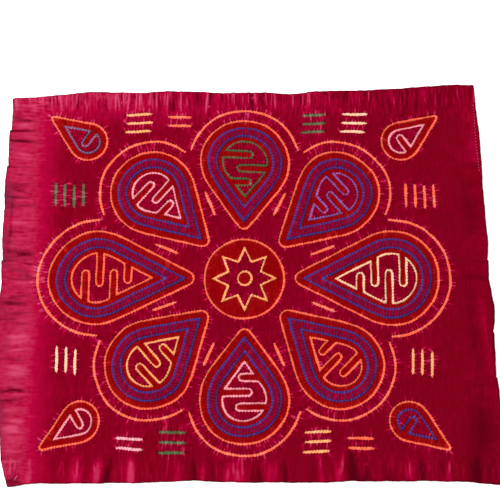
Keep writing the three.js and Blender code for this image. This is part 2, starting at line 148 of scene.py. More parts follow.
# Main creases and folds, given one by one: the middle, across and up, the way it runs in degrees, half its
# length, its width, and its height, which is below zero for a trough
BROAD_CREASES = [
    (-148, -177, 88, 30, 9.0, 0.5),
    (-131, -177, 86, 27, 4.0, 0.6),
    (-122, -177, 82, 22, 3.0, -1.3),
    (-101, -177, 94, 26, 4.5, 0.6),
    (-60, -177, 90, 24, 7.0, 0.35),
    (-46, -177, 95, 20, 2.6, -0.8),
    (-39, -177, 93, 21, 2.4, 0.45),
    (-30, -177, 91, 21, 3.4, -0.5),
    (-18, -177, 87, 22, 3.0, 0.55),
    (-5, -177, 90, 21, 6.0, 0.35),
    (11, -177, 92, 21, 2.8, -0.9),
    (23, -177, 92, 22, 4.5, 0.4),
    (33, -177, 88, 20, 2.2, -0.7),
    (51, -177, 91, 20, 2.4, 0.35),
    (64, -177, 95, 28, 3.6, 0.5),
    (75, -177, 93, 28, 6.0, 0.4),
    (92, -177, 98, 26, 3.8, -1.7),
    (103, -177, 84, 20, 3.0, -0.7),
    (115, -177, 88, 21, 3.4, 0.3),
    (142, -177, 92, 21, 3.0, 0.28),
    (152, -177, 93, 21, 3.4, -1.0),
    (178, -177, 90, 21, 8.0, 0.12),
    (200, -177, 88, 24, 5.0, -0.8),
    (4, 166, 91, 13, 2.6, -0.7),
    (209, 135, 92, 60, 8.0, 0.3),
    (208, 104, 3, 12, 2.4, -0.5),
    (203, 62, 92, 42, 9.0, -0.4),
    (209, 0, -4, 14, 2.8, -0.7),
    (202, -45, 95, 80, 5.0, -0.4),
    (213, -55, 96, 75, 4.0, 0.32),
    (221, -60, 93, 70, 3.0, -0.5),
    (207, -150, 92, 65, 12.0, -0.8),
    (-206, 54, 1, 18, 5.0, 0.25),
    (-208, 20, 2, 22, 4.0, -0.7),
    (-206, 2, -3, 20, 3.0, -0.6),
    (-206, -20, 3, 18, 5.0, -0.4),
    (-205, -53, 0, 18, 6.0, 0.28),
    (-205, -86, 3, 18, 3.0, 0.25),
    (-206, -102, -2, 18, 2.6, -0.8),
    (-205, -120, 92, 80, 13.0, 0.22),
]
# How much painted highlight a broad ridge gets, and how much painted shade a broad trough, for its height
BROAD_RIDGE_PAINTED_LIGHT = 1.15
BROAD_TROUGH_PAINTED_SHADE = 0.4
# The panel's own edge has a line of painted shade: how dark, and how far in from the edge that dies away
EDGE_PAINTED_SHADE = 0.55
EDGE_PAINTED_SHADE_WIDTH = (0.3, 1.5)
# Thin creases, set in the same way, are troughs whose painted shade shows as dark lines
THIN_CREASES = [
    (-216, 138, 3, 24, 0.9, -0.5),
    (-213, 129, -2, 14, 0.8, -0.25),
    (-218, 103, 2, 30, 0.9, -0.5),
    (-213, 74, -4, 15, 0.8, -0.25),
    (-216, 50, 89, 36, 1.1, -0.35),
    (-219, 15, 2, 27, 0.9, -0.55),
    (-215, 4, -3, 13, 0.8, -0.25),
    (-213, -38, 5, 18, 0.9, -0.25),
    (-218, -67, -2, 21, 0.9, -0.2),
    (-214, -110, 4, 17, 1.0, -0.25),
    (4, 170, 91, 18, 1.0, -0.5),
    (150, 170, 86, 15, 0.9, -0.4),
    (-122, -174, 80, 19, 1.2, -0.5),
    (-82, -175, 97, 15, 1.0, -0.35),
    (-46, -176, 92, 14, 1.0, -0.35),
    (92, -173, 97, 21, 1.3, -0.5),
    (152, -174, 92, 17, 1.1, -0.4),
    (214, 14, -3, 14, 0.9, -0.3),
]

# Broad unevenness of a cloth that has been sewn and handled: blur and height of each scale
UNEVENNESS = [
    {"blur": 16.0, "height": 0.42},
    {"blur": 5.5, "height": 0.13},
    {"blur": 2.0, "height": 0.035},
]

# Thread
THREAD_RADIUS = 0.19
THREAD_SIDES = 5
THREAD_TAPER = 0.8  # how thick its ends are for its middle
NOT_ZERO = 1e-9  # keeps a direction from having no length
STITCH_VARIES = (0.7, 1.3)
OVER_EDGE = 0.2  # how far inside the edge a stitch is highest
STITCHES = {
    "rim": {"on_cloth": 0.7, "beyond": 0.55, "slant": 0.25, "bulge": 0.14},
    "top": {"on_cloth": 0.9, "beyond": 0.8, "slant": 0.3, "bulge": 0.14},
    "band": {"on_cloth": 3.0, "beyond": 0.7, "slant": 0.2, "bulge": 0.16},
}
# Loose tacking stitches: where a row of them starts and ends, how many there are, and how long each is
TACK_COLOUR = "pink_cotton"
TACKS = [
    {"start": (210, 164), "end": (213, 98), "count": 23, "length": 0.5},
    {"start": (-203, -179), "end": (-200, -174), "count": 1, "length": 4.5},
]

# Colours as seen, red green blue out of 255: the cloth, the cloth where it has faded, which is also its
# painted highlight, and its thread. One cloth has a brighter painted sheen before it turns to a chalky
# colour.
COTTONS = {
    "crimson_cotton": {
        "cloth": (120, 0, 24), "painted_sheen": (163, 2, 52), "faded_and_highlit": (192, 62, 98), "thread": (98, 2, 22),
    },
    "scarlet_cotton": {"cloth": (129, 1, 6), "faded_and_highlit": (200, 36, 38), "thread": (160, 8, 20)},
    "orange_cotton": {"cloth": (255, 98, 68), "faded_and_highlit": (255, 144, 118), "thread": (255, 116, 86)},
    "blue_cotton": {"cloth": (66, 46, 120), "faded_and_highlit": (118, 92, 150), "thread": (88, 46, 118)},
    "yellow_cotton": {"cloth": (255, 160, 98), "faded_and_highlit": (255, 192, 150), "thread": (255, 168, 112)},
    "cream_cotton": {"cloth": (255, 194, 152), "faded_and_highlit": (255, 222, 196), "thread": (255, 200, 166)},
    "pink_cotton": {"cloth": (248, 146, 160), "faded_and_highlit": (255, 196, 202), "thread": (250, 160, 174)},
    "green_cotton": {"cloth": (80, 88, 56), "faded_and_highlit": (122, 130, 102), "thread": (112, 120, 90)},
    "purple_cotton": {"cloth": (134, 76, 150), "faded_and_highlit": (180, 132, 188), "thread": (144, 88, 158)},
    "violet_cotton": {"cloth": (116, 84, 122), "faded_and_highlit": (164, 136, 168), "thread": (128, 96, 134)},
}
PAINTED_SHEEN_AT = 0.45  # share of its fading and painted light at which the painted sheen is strongest
# How strong each is in the colour: painted light on ridges, faded patches, paler margins, and painted
# light and shade on wrinkles
FADING_AND_PAINTED_LIGHT = {"Painted ridge light": 0.66, "Patches": 0.07, "Side": 0.08, "Painted crinkle light": 1.0}
SIDE_FADING_AND_PAINTED_LIGHT = {"crimson_cotton": 0.56}  # the cloth with the palest margins: partly painted light from the upper left, partly bleaching where light reached it
PAINTED_SHADE_KEEPS = 0.68  # share of its brightness that a colour keeps in a trough, as painted shade
PAINTED_RIDGE_HIGHLIGHT = (0.1, 0.85)  # heights between which a ridge is painted paler and paler, a painted highlight
PAINTED_TROUGH_DARKENING = (0.12, -0.5)  # heights between which a trough is painted darker and darker, a painted shade
# The left and top margins are palest, partly painted light from the upper left and partly bleaching:
# places, in metres, between which they are more and more so
FADED_AND_LIT_SIDE = (0.2, -0.24)
FADED_AND_LIT_LEFT = (-0.165, -0.2)
FADED_AND_LIT_TOP = (0.135, 0.17)
# Fine wrinkles, bumped, with painted highlight on their crests and painted shade in their hollows: how
# many there are to a metre, how narrow they are for their length, and how strong their painted light is
# away from the top margin
CRINKLE_SCALE = 520
CRINKLE_STRETCH = 0.16
CRINKLE_LEAST = 0.3
# The left edge has painted shade here and there: its colour, and the places between which it is stronger
# and stronger
LEFT_EDGE_PAINTED_SHADE = (96, 26, 54)
LEFT_EDGE_PAINTED_SHADE_PLACES = (-0.208, -0.228)
# Soft patches: how many there are to a metre, and the noise between which they are more and more faded,
# and between which the left edge's painted shade is stronger and stronger
PATCH_SCALE = 24
SOFT_DETAIL = 2  # of the noise in patches and wrinkles
PATCH_RANGE = (0.42, 0.72)
LEFT_EDGE_PAINTED_SHADE_RANGE = (0.38, 0.6)

# Surface of the cotton
WEAVE = 2300  # threads to a metre of cloth
TWIST = 5200  # twists to a metre of thread
SLUB_SCALE = 260  # thick places to a metre of thread
SLUB_DETAIL = 3  # of the noise that makes them
SLUB_DRIFT = 2.0  # how far they push the weave aside, in radians
CROSSING_HEIGHT = 0.5  # how high crossing threads stand for a thick place
WEAVE_SHADE = 0.07  # how much their colour is painted lighter on raised crossings and darker in the gaps, for the shade of a thick place
TONE_AND_SHADING_SHARE = 0.34  # how much that shade, thread tone with painted weave shading, counts as fading
ROUGHNESS = (0.72, 0.95)
GLOSS = 0.01
WEAVE_DEPTH = 0.00012  # height of the weave in metres
CRINKLE_DEPTH = 0.0003  # and of fine wrinkles
BUMP_STRENGTH = 0.5
# Where a colour mix takes and gives its colours
FIRST_COLOUR, SECOND_COLOUR, MIXED_COLOUR = 6, 7, 2

# Camera: the photograph is taken from almost straight above
CAMERA_TARGET = (0.0007, -0.01075, 0.0)
CAMERA_DISTANCE = 0.7
CAMERA_TILT = math.radians(8.5)
CAMERA_LENS = 55.7
CAMERA_SHIFT = (0.0028, 0.0796)
CAMERA_SENSOR = 36
NEAREST_SEEN = 0.01

# Light: one large window and a soft room
WINDOW = {"place": (-1.15, 0.5, 2.0), "size": 1.2, "power": 74}
ROOM_LIGHT = 0.3
ROOM_COLOUR = (1.0, 0.99, 0.98, 1)
FLOOR_SIZE = 8
FLOOR_COLOUR = (0.92, 0.92, 0.92, 1)
FLOOR_ROUGHNESS = 0.9
FLOOR_GLOW = 0.7
GLOW_COLOUR = (1, 1, 1, 1)
FLOOR_BELOW = 0.0002  # how far the floor lies under the cloth, in metres

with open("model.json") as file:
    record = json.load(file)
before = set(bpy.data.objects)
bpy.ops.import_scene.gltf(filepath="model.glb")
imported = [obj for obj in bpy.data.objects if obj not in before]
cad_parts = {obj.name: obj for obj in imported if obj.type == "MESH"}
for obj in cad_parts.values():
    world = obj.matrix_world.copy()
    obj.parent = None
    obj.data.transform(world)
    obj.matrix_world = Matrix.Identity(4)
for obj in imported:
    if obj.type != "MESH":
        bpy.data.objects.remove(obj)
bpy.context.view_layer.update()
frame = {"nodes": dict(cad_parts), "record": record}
slot_of = {part["node"]: part["material_slot"] for part in frame["record"]["subparts"]}


def seeded(name):
    return np.random.default_rng(zlib.crc32(name.encode()))


def unit(vectors):
    return vectors / np.linalg.norm(vectors, axis=1, keepdims=True)


# Outlines


def upper_outlines(node):
    """Closed outlines of a CAD node's upper face, outer edge first, with the cloth to the left of each."""
    mesh = frame["nodes"][node].data
    mesh.calc_loop_triangles()
    corners = np.zeros(3 * len(mesh.vertices))
    mesh.vertices.foreach_get("co", corners)
    corners = np.round(corners.reshape(-1, 3) / MM, SAME_POINT)
    points, index = np.unique(corners, axis=0, return_inverse=True)
    index = index.ravel()
    triangles = np.zeros(3 * len(mesh.loop_triangles), int)
    mesh.loop_triangles.foreach_get("vertices", triangles)
    triangles = index[triangles.reshape(-1, 3)]
    _, column = np.unique(points[:, :2], axis=0, return_inverse=True)
    column = column.ravel()
    highest = np.full(column.max() + 1, -np.inf)
    np.maximum.at(highest, column, points[:, 2])
    on_top = points[:, 2] > highest[column] - SAME_HEIGHT
    upward = triangles[on_top[triangles].all(1)]
    sides = {(t[k], t[(k + 1) % 3]) for t in upward.tolist() for k in range(3)}
    following = {start: end for start, end in sides if (end, start) not in sides}
    outlines = []
    while following:
        start, here = following.popitem()
        walk = [start]
        while here != start:
            walk.append(here)
            here = following.pop(here)
        outlines.append(points[walk][:, :2])
    return sorted(outlines, key=area_within, reverse=True)


def area_within(outline):
    x, y = outline.T
    return 0.5 * np.sum(x * np.roll(y, -1) - np.roll(x, -1) * y)


def softened(outline):
    """Cuts the corners of an outline again and again: a lot along curves, a little at real corners."""
    for _ in range(CORNER_CUTS):
        ahead = np.roll(outline, -1, 0) - outline
        length = np.linalg.norm(ahead, axis=1, keepdims=True)
        along = ahead / length
        before = np.roll(along, 1, 0)
        sharp = turns_of(outline)[:, None] > SHARP_TURN
        most = np.where(sharp, CORNER_ROUNDING, CURVE_ROUNDING)
        back = outline - before * np.minimum(CORNER_CUT * np.roll(length, 1, 0), most)
        forth = outline + along * np.minimum(CORNER_CUT * length, most)
        outline = np.stack([back, forth], 1).reshape(-1, 2)
    return outline


def turns_of(outline):
    """How far an outline turns at each of its points."""
    along = unit(np.roll(outline, -1, 0) - outline)
    return np.arccos(np.clip(np.sum(along * np.roll(along, 1, 0), 1), -1, 1))


def respaced(outline):
    """The same outline with evenly spaced points, a whole number of stitches round it."""
    ring = np.vstack([outline, outline[:1]])
    run = np.concatenate([[0], np.cumsum(np.linalg.norm(np.diff(ring, axis=0), axis=1))])
    stitches = max(FEWEST_STITCHES, round(run[-1] / STITCH_PITCH))
    count = stitches * POINTS_PER_STITCH
    at = np.arange(count) * run[-1] / count
    return np.column_stack([np.interp(at, run, ring[:, k]) for k in (0, 1)])


def normals_of(outline):
    """Unit normals that point into the cloth."""
    along = unit(np.roll(outline, -1, 0) - np.roll(outline, 1, 0))
    return np.column_stack([-along[:, 1], along[:, 0]])


def make_strays():
    """How far the layout strays, aside and up, at every place on the panel."""
    strays = []
    for way in ("aside", "up"):
        stray = Relief()
        stray.add_noise(seeded("stray " + way), **LAYOUT_STRAY)
        strays.append(stray)
    return strays


def strayed(points):
    """Moves the layout a little, as a hand-drawn one strays."""
    return points + np.column_stack([stray.at(points) for stray in strays])


def hand_cut(outline, random, pull, inset):
    """Lets an edge stray in slow waves, and draws it in at each stitch, but less at a sharp turn."""
    count = len(outline)
    round_it = 2 * np.pi * np.arange(count) / count
    length = count * STITCH_PITCH / POINTS_PER_STITCH
    stray = np.zeros(count)
    for wave in EDGE_WAVES:
        waves = max(1, round(length / wave["length"]))
        stray += wave["share"] * np.sin(waves * round_it + random.uniform(0, 2 * np.pi))
    drawn = np.where(np.arange(count) % POINTS_PER_STITCH == 0, 1.0, -SLACK)
    calm = 1 / (1 + (turns_of(outline) / SHARP_TURN) ** 2)
    calm = np.min([np.roll(calm, k) for k in range(-CALMED, CALMED + 1)], axis=0)
    inward = inset + calm * (WOBBLE * stray + pull * drawn)
    return outline + normals_of(outline) * inward[:, None]


def worn(outline):
    """Steps in a loose edge: each is deepest at its lower end and dies away upward."""
    x, y = outline.T
    inward = np.zeros(len(outline))
    for nick in NICKS:
        above = y - nick["y"]
        here = (x * nick["side"] > SIDE_EDGE) & (above > 0)
        inward += here * nick["depth"] * np.exp(-above / nick["length"])
    return outline + normals_of(outline) * inward[:, None]


def cut_outlines(node):
    random = seeded(node)
    outlines = [respaced(softened(strayed(outline))) for outline in upper_outlines(node)]
    loose = 1 if node in WHOLE_CLOTHS else 0
    pulls = [0] * loose + [STITCH_PULL] * (len(outlines) - loose)
    inset = BASE_INSET if node == "base_cloth" else 0
    cut = [hand_cut(outline, random, pull, inset) for outline, pull in zip(outlines, pulls)]
    return [worn(outline) for outline in cut[:loose]] + cut[loose:]


def sewn_edges(node):
    """The edges of a piece that are sewn down: all but the outer edge of a whole cloth."""
    return outlines_of[node][1:] if node in WHOLE_CLOTHS else outlines_of[node]


# Relief


class Relief:
    """A height for every place on the panel, on an even grid."""

    def __init__(self, step=RELIEF_STEP):
        self.step = step
        self.half = np.array(RELIEF_HALF)
        counts = np.round(2 * self.half / step).astype(int) + 1
        self.height = np.zeros((counts[1], counts[0]))
        self.x = np.linspace(-self.half[0], self.half[0], counts[0])
        self.y = np.linspace(-self.half[1], self.half[1], counts[1])

    def add_ridge(self, x, y, angle, half_length, width, height):
        """A soft ridge, or a trough if its height is negative, that dies away at both ends."""
        reach = half_length + RIDGE_REACH * width
        columns = slice(*np.searchsorted(self.x, (x - reach, x + reach)))
        rows = slice(*np.searchsorted(self.y, (y - reach, y + reach)))
        right, up = np.meshgrid(self.x[columns] - x, self.y[rows] - y)
        along = right * math.cos(angle) + up * math.sin(angle)
        across = up * math.cos(angle) - right * math.sin(angle)
        ends = np.clip(1 - (along / half_length) ** 2, 0, 1) ** RIDGE_ENDS
        self.height[rows, columns] += height * ends * np.exp(-((across / width) ** 2))

    def add_noise(self, random, blur, height):
        """Broad unevenness: random heights, blurred."""
        rough = np.fft.rfft2(random.standard_normal(self.height.shape))
        down = np.fft.fftfreq(self.height.shape[0], self.step)[:, None]
        over = np.fft.rfftfreq(self.height.shape[1], self.step)[None, :]
        keep = np.exp(-2 * (np.pi * blur) ** 2 * (down**2 + over**2))
        soft = np.fft.irfft2(rough * keep, self.height.shape)
        self.height += height * soft / soft.std()

    def at(self, points):
        """Heights at any points, blended between the four nearest places of the grid."""
        grid = self.height
        place = (points + self.half) / self.step
        limit = np.array(grid.shape[::-1]) - 2
        cell = np.clip(place.astype(int), 0, limit)
        share = np.clip(place - cell, 0, 1)
        column, row = cell.T
        right, up = share.T
        low = grid[row, column] * (1 - right) + grid[row, column + 1] * right
        high = grid[row + 1, column] * (1 - right) + grid[row + 1, column + 1] * right
        return low * (1 - up) + high * up


def blurred(grid, cells):
    reach = int(BLUR_REACH * cells)
    weight = np.exp(-0.5 * (np.arange(-reach, reach + 1) / cells) ** 2)
    weight /= weight.sum()
    for axis in (0, 1):
        pad = [(reach, reach) if a == axis else (0, 0) for a in (0, 1)]
        wide = np.pad(grid, pad, mode="edge")
        grid = np.apply_along_axis(np.convolve, axis, wide, weight, mode="valid")
    return grid


def make_lift():
    """How far the frame's rippled margins stand off the surface, smoothed."""
    lift = Relief(LIFT_STEP)
    mesh = frame["nodes"]["base_cloth"].data
    mesh.calc_loop_triangles()
    corners = [v.co for v in mesh.vertices]
    tree = BVHTree.FromPolygons(corners, [tuple(t.vertices) for t in mesh.loop_triangles])
    grid = np.full(lift.height.shape, np.nan)
    down = Vector((0, 0, -1))
    for row, y in enumerate(lift.y):
        for column, x in enumerate(lift.x):
            hit = tree.ray_cast(Vector((x * MM, y * MM, WELL_ABOVE)), down)[0]
            if hit:
                grid[row, column] = hit.z / MM - LAYER_TOP["base"]
    while np.isnan(grid).any():
        grid = spread(grid)
    lift.height = blurred(np.clip(grid, 0, None), LIFT_BLUR / LIFT_STEP)
    return lift


def spread(grid):
    """Gives each empty place beside a filled one its neighbours' mean."""
    wide = np.pad(grid, 1, constant_values=np.nan)
    beside = np.stack([wide[:-2, 1:-1], wide[2:, 1:-1], wide[1:-1, :-2], wide[1:-1, 2:]])
    known = ~np.isnan(beside)
    mean = np.where(known, beside, 0).sum(0) / np.maximum(known.sum(0), 1)
    return np.where(np.isnan(grid) & known.any(0), mean, grid)


def add_puckers(relief, outline, random, height):
    """Short ridges that cross a seam at uneven distances."""
    normals = normals_of(outline)
    spacing = STITCH_PITCH / POINTS_PER_STITCH
    at = random.uniform(0, PUCKER_PITCH)
    while at < len(outline) * spacing:
        i = int(at / spacing) % len(outline)
        across = math.atan2(normals[i, 1], normals[i, 0]) + random.normal(0, PUCKER_LEAN)
        half_length = random.uniform(*PUCKER_LENGTH)
        middle = outline[i] + normals[i] * random.uniform(*PUCKER_SHIFT) * half_length
        size = random.uniform(*PUCKER_WIDTH), random.uniform(*height)
        relief.add_ridge(*middle, across, half_length, *size)
        at += PUCKER_PITCH * random.uniform(*UNEVEN_PITCH)


def add_gathers(relief, side, inward, pitch, half_length, width, height, lean):
    """Ridges that run straight out from the field to one edge of the panel."""
    random = seeded(f"gathers {side} {pitch}")
    low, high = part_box("orange_cloth")
    edge_low, edge_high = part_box("crimson_cloth")
    upright = side in ("top", "bottom")
    axis = 0 if upright else 1
    across = 1 - axis
    far = side in ("top", "right")
    middle = 0.5 * ((high if far else low)[across] + (edge_high if far else edge_low)[across]) / MM
    middle += -inward if far else inward
    at = edge_low[axis] / MM
    while at < edge_high[axis] / MM:
        place = [0.0, 0.0]
        place[axis] = at
        place[across] = middle + random.normal(0, GATHER_STRAY)
        angle = math.radians((90 if upright else 0) + random.normal(0, lean))
        sizes = [random.uniform(*span) for span in (half_length, width, height)]
        relief.add_ridge(*place, angle, *sizes)
        at += pitch * random.uniform(*UNEVEN_PITCH)


def pucker_height(node):
    for ending, height in PUCKER_HEIGHT.items():
        if node.endswith(ending):
            return height
    return PUCKER_HEIGHT["comb_overlay"]


def make_broad_creases():
    creases = Relief()
    add_creases(creases, BROAD_CREASES)
    return creases


def painted_crease_light(points):
    """How much painted highlight the cloth gets on a broad ridge, or below zero how much painted shade in
    a broad trough.
    """
    height = broad_creases.at(points)
    return height * np.where(height > 0, BROAD_RIDGE_PAINTED_LIGHT, BROAD_TROUGH_PAINTED_SHADE)


# Painted shade along a whole cloth's outer edge, strongest at the edge
def painted_edge_shade(points, outer_edge):
    return EDGE_PAINTED_SHADE * (1 - eased(nearest(points, tree_of([outer_edge])), *EDGE_PAINTED_SHADE_WIDTH))


def make_unevenness():
    uneven = Relief()
    for scale in UNEVENNESS:
        uneven.add_noise(seeded("unevenness"), **scale)
    uneven.height += broad_creases.height
    return uneven


def add_creases(relief, creases):
    for x, y, angle, *size in creases:
        relief.add_ridge(x, y, math.radians(angle), *size)


def make_ridges():
    """Puckers, gathers and thin creases: the relief that gets painted highlight on its tops and painted
    shade in its troughs.
    """
    ridges = Relief()
    for node in outlines_of:
        if layer_of(node) == "upper":
            random = seeded("puckers " + node)
            for seam in sewn_edges(node):
                add_puckers(ridges, seam, random, pucker_height(node))
    for gather in GATHERS:
        add_gathers(ridges, **gather)
    add_creases(ridges, THIN_CREASES)
    return ridges


def make_cover():
    """One where cloth of the upper layer lies, and zero elsewhere."""
    cover = Relief()
    starts, ends = edge_ends(upper_edges)
    for row, y in enumerate(cover.y):
        cover.height[row] = np.searchsorted(crossings(starts, ends, y), cover.x) % 2
    return cover


def hidden(points):
    """Which points lie under the upper layer."""
    return covered.at(points) > 0.5


def settled(relief):
    """Eases off the deepest troughs, because cloth can't sink into the surface that it lies on."""
    start, room = TROUGH_FLOOR
    beyond = np.clip(start - relief, 0, None)
    return np.maximum(relief, start) - room * (1 - np.exp(-beyond / room))


def stands(points):
    """How far the whole stack of cloth stands above its flat place."""
    return settled(uneven.at(points) + ridges.at(points)) + lift.at(points)


# Cloth


def layer_of(node):
    if node == "base_cloth":
        return "base"
    if node == "crimson_cloth" or node.endswith("_overlay"):
        return "upper"
    return "middle"


def nearest(points, tree):
    return np.array([tree.find((x, y, 0))[2] for x, y in points])


def stitch_puckers(points, outlines, tree):
    """Heights of the small puckers beside a seam: low at each stitch, high between two."""
    found = [tree.find((x, y, 0))[1:] for x, y in points]
    index = np.array([i for i, _ in found])
    distance = np.array([d for _, d in found])
    starts = np.cumsum([0] + [len(outline) for outline in outlines])
    start = starts[np.searchsorted(starts, index, side="right") - 1]
    phase = 2 * np.pi * (index - start) / POINTS_PER_STITCH
    fade = 1 - eased(distance, *STITCH_PUCKER["reach"])
    return -STITCH_PUCKER["height"] * np.cos(phase) * fade


def thinned(points):
    """Leaves out each point that crowds an earlier one."""
    tree = tree_of([points])
    keep = np.ones(len(points), bool)
    for i, (x, y) in enumerate(points):
        if keep[i]:
            for _, j, _ in tree.find_range((x, y, 0), CROWDED):
                if j > i:
                    keep[j] = False
    return points[keep]


def tree_of(outlines):
    points = np.vstack(outlines)
    tree = KDTree(len(points))
    for i, (x, y) in enumerate(points):
        tree.insert((x, y, 0), i)
    tree.balance()
    return tree


def grid_inside(outlines, spacing):
    """Staggered rows of points inside the outlines."""
    across, up = spacing
    starts, ends = edge_ends(outlines)
    low, high = starts.min(0), starts.max(0)
    found = []
    for k, y in enumerate(np.arange(low[1] + up / 2, high[1], up)):
        x = np.arange(low[0] + (k % 2) * across / 2, high[0], across)
        inside = np.searchsorted(crossings(starts, ends, y), x) % 2 == 1
        found.append(np.column_stack([x[inside], np.full(inside.sum(), y)]))
    return np.vstack(found)


def edge_ends(outlines):
    """Where each short edge of the outlines starts and ends."""
    return np.vstack(outlines), np.vstack([np.roll(outline, -1, 0) for outline in outlines])


def crossings(starts, ends, y):
    """Where a level line crosses the edges, from left to right."""
    crossing = (starts[:, 1] > y) != (ends[:, 1] > y)
    a, b = starts[crossing], ends[crossing]
    return np.sort(a[:, 0] + (y - a[:, 1]) / (b[:, 1] - a[:, 1]) * (b[:, 0] - a[:, 0]))


def edge_rows(outlines, tree, distances):
    """Points beside each edge, left out where another edge is nearer."""
    rows = []
    for distance in distances:
        for outline in outlines:
            row = outline + normals_of(outline) * distance
            rows.append(row[nearest(row, tree) > NEARLY * abs(distance)])
    return thinned(np.vstack(rows))


def triangulated(outlines, inside, tree):
    """Triangles that fill the outlines, through the given inside points.

    Triangles with all their corners on the edges may lie in a window, so their middles are tested.
    """
    edges = []
    count = 0
    for outline in outlines:
        ids = count + np.arange(len(outline))
        edges += np.column_stack([ids, np.roll(ids, -1)]).tolist()
        count += len(outline)
    points = [Vector(p) for p in np.vstack([*outlines, inside]).tolist()]
    found, _, faces, *_ = delaunay_2d_cdt(points, edges, [], 1, MERGED, False)
    found = np.array([(p.x, p.y) for p in found])
    faces = np.array(faces)
    doubtful = (nearest(found, tree) < ON_EDGE)[faces].all(1)
    keep = ~doubtful
    keep[doubtful] = surrounded(outlines, found[faces[doubtful]].mean(1))
    faces = faces[keep]
    used = np.unique(faces)
    place = np.zeros(len(found), int)
    place[used] = np.arange(len(used))
    return found[used], place[faces]


def eased(value, low, high):
    share = np.clip((value - low) / (high - low), 0, 1)
    return share * share * (3 - 2 * share)


def top_heights(node, points, distance, puckers):
    """Heights of a piece's upper face: level, relief, and the roll of its turned edge."""
    layer = layer_of(node)
    below = LAYER_TOP[LAYER_BELOW[layer]]
    drop = LAYER_TOP[layer] - below + SINK
    out = np.clip(1 - distance / ROLL, 0, 1)
    roll = 1 - np.sqrt(1 - out**2)
    lip = LIP * (1 - eased(distance, *LIP_WIDTH))
    ridge = ridges.at(points)
    tucked = hidden_share(node, points)
    relief = settled(uneven.at(points) + np.where(ridge > 0, ridge * (1 - tucked), ridge))
    relief += puckers * eased(distance, 0, ROLL) * (1 - tucked) - TUCKED * tucked
    height = LAYER_TOP[layer] + relief + lip - (drop + lip) * roll
    return np.maximum(height, THINNEST) + lift.at(points)


def hidden_share(node, points):
    """How far each point of a piece lies under the upper layer: 0 where it shows, 1 well inside."""
    if layer_of(node) == "upper":
        return np.zeros(len(points))
    return hidden(points) * eased(nearest(points, upper_tree), *TUCK_WIDTH)


def under_heights(points, layer):
    if layer == "base":
        return lift.at(points)
    return LAYER_TOP[LAYER_BELOW[layer]] - SINK + stands(points)


def seams_on(node):
    """The edges whose stitches draw up puckers in a piece: its own, or those sewn to the base cloth."""
    if node == "base_cloth":
        return [o for name in outlines_of if layer_of(name) == "middle" for o in sewn_edges(name)]
    return sewn_edges(node)


def inside_points(node, outlines, tree):
    """Rows of points beside the seams, then a grid: fine where the piece shows, coarse elsewhere."""
    upper = layer_of(node) == "upper"
    rows = edge_rows(outlines, tree, EDGE_ROWS if upper else RIM_ROWS)
    if node == "base_cloth":
        seams = seams_on(node)
        beside = edge_rows(seams, tree_of(seams), [-distance for distance in BASE_ROWS])
        rows = np.vstack([rows, beside])
    taken = tree_of([rows])
    points = gathered_grid(outlines) if node == "crimson_cloth" else grid_inside(outlines, FINE)
    points = points[nearest(points, tree) > EDGE_ROWS[0]]
    if not upper:
        shown = ~hidden(points) | (nearest(points, upper_tree) < FINE[0])
        coarse = coarse_grid(outlines, tree)
        points = np.vstack([points[shown], coarse[hidden(coarse)]])
    return np.vstack([rows, points[nearest(points, taken) > CLEAR_OF_ROWS]])


def coarse_grid(outlines, tree):
    """Widely spaced points, clear of the edges."""
    points = grid_inside(outlines, COARSE)
    return points[nearest(points, tree) > COARSE_CLEAR]


def gathered_grid(outlines):
    """A grid whose points lie close together across the gathers of each margin."""
    low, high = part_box("orange_cloth")
    found = []
    for spacing in (FINE, UPRIGHT_GATHERS, LEVEL_GATHERS):
        points = grid_inside(outlines, spacing)
        above = (points[:, 1] < low.y / MM) | (points[:, 1] > high.y / MM)
        beside = ~above & ((points[:, 0] < low.x / MM) | (points[:, 0] > high.x / MM))
        here = {FINE: ~above & ~beside, UPRIGHT_GATHERS: above, LEVEL_GATHERS: beside}[spacing]
        found.append(points[here])
    return np.vstack(found)


def surrounded(outlines, points):
    """Which scattered points lie inside the outlines: those with an odd number of edges to their right."""
    starts, ends = edge_ends(outlines)
    steps = ends - starts
    inside = np.zeros(len(points), bool)
    for first in range(0, len(points), AT_ONCE):
        x, y = points[first : first + AT_ONCE].T[:, :, None]
        share = (y - starts[:, 1]) / np.where(steps[:, 1] == 0, np.inf, steps[:, 1])
        ahead = starts[:, 0] + share * steps[:, 0] > x
        crossing = (starts[:, 1] > y) != (ends[:, 1] > y)
        inside[first : first + AT_ONCE] = (crossing & ahead).sum(1) % 2 == 1
    return inside


def mesh_object(name, points, faces, material):
    mesh = bpy.data.meshes.new(name)
    mesh.from_pydata((points * MM).tolist(), [], faces.tolist())
    mesh.materials.append(material)
    mesh.shade_smooth()
    mesh.update()
    piece = bpy.data.objects.new(name, mesh)
    bpy.context.scene.collection.objects.link(piece)
    return piece


def cloth_piece(node, outlines):
    """A thin closed sheet: a finely shaped upper face, turned edges, and a plain underside."""
    tree = tree_of(outlines)
    top, top_faces = triangulated(outlines, inside_points(node, outlines, tree), tree)
    seams = seams_on(node)
    small = stitch_puckers(top, seams, tree_of(seams))
    top_z = top_heights(node, top, nearest(top, tree), small)
    under, under_faces = triangulated(outlines, coarse_grid(outlines, tree), tree)
    under_z = under_heights(under, layer_of(node))
    on_edge = nearest(under, tree) < ON_EDGE
    points, faces = joined(top, top_z, top_faces, under, under_z, under_faces, on_edge)
    piece = mesh_object(node + "_sewn", points, faces, cotton[slot_of[node]])
    # The relief's height at each point, for painted highlight on ridges and painted shade in troughs
    shade = piece.data.attributes.new("ridge", "FLOAT", "POINT")
    shade.data.foreach_set("value", painted_light_of_relief(node, points[:, :2], small).astype(np.float32))
    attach(piece, "root")
    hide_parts(node)
    return piece


